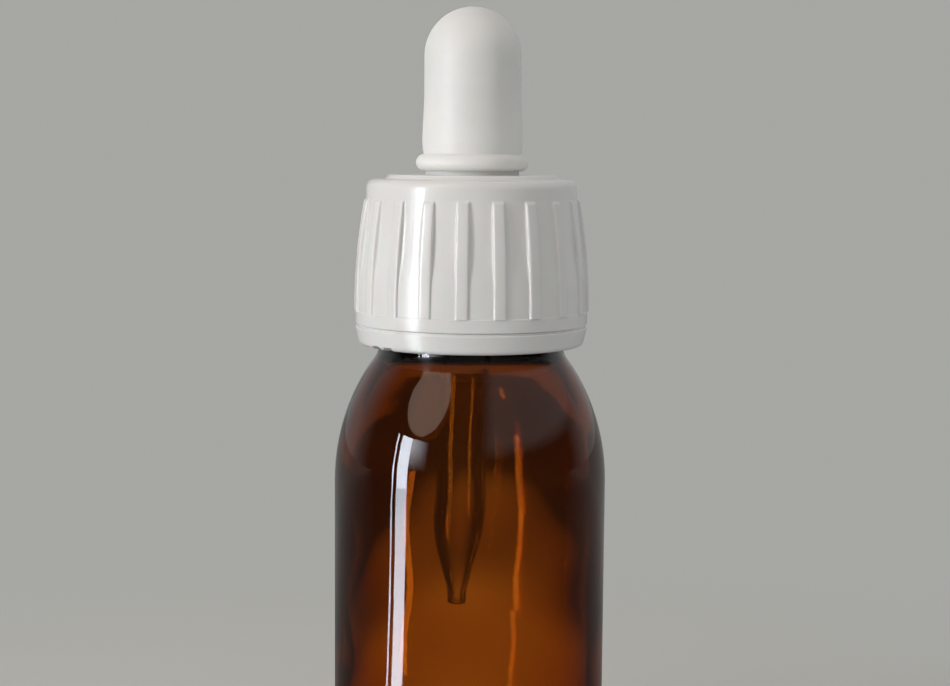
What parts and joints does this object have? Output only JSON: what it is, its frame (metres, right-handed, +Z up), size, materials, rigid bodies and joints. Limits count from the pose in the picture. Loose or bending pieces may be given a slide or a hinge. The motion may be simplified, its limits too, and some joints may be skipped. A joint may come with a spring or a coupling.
{
  "type": "dropper bottle",
  "caption": "Round amber glass dropper bottle with a ribbed white screw cap, tamper ring, rubber bulb and glass pipette that lifts out for dosing drops.",
  "frame": {"origin": "centre of the ring-shaped foot that the bottle stands on", "axes": "+Z up along the axis of the bottle, cap, bulb and pipette; the picture is taken from -Y"},
  "size_m": [0.0376, 0.0376, 0.1184],
  "materials": {
    "amber_glass": "moulded amber glass, fire polished",
    "ring_plastic": "white moulded polyethylene, satin gloss",
    "clear_glass": "drawn clear glass tube",
    "cap_plastic": "white moulded polypropylene, gloss",
    "bulb_rubber": "soft white rubber, satin"
  },
  "bodies": {
    "bottle": {"bottle": "amber_glass"},
    "tamper_ring": {"tamper_ring": "ring_plastic"},
    "dropper": {"pipette": "clear_glass"},
    "cap": {"cap": "cap_plastic"},
    "bulb": {"bulb": "bulb_rubber"}
  },
  "joints": [
    {"name": "ring_turn", "type": "hinge", "parent": "bottle", "child": "tamper_ring", "pos_m": [0, 0, 0.0735], "axis": [0, 0, 1], "continuous": true},
    {"name": "dropper_lift", "type": "slide", "parent": "bottle", "child": "dropper", "axis": [0, 0, 1], "range_m": [0, 0.061]},
    {"name": "cap_turn", "type": "hinge", "parent": "dropper", "child": "cap", "pos_m": [0, 0, 0.085], "axis": [0, 0, 1], "range_deg": [0, 540]},
    {"name": "bulb_squeeze", "type": "slide", "parent": "cap", "child": "bulb", "axis": [0, 0, -1], "range_m": [0, 0.006], "stiffness_N_per_m": 150, "deforming": ["bulb"]}
  ]
}
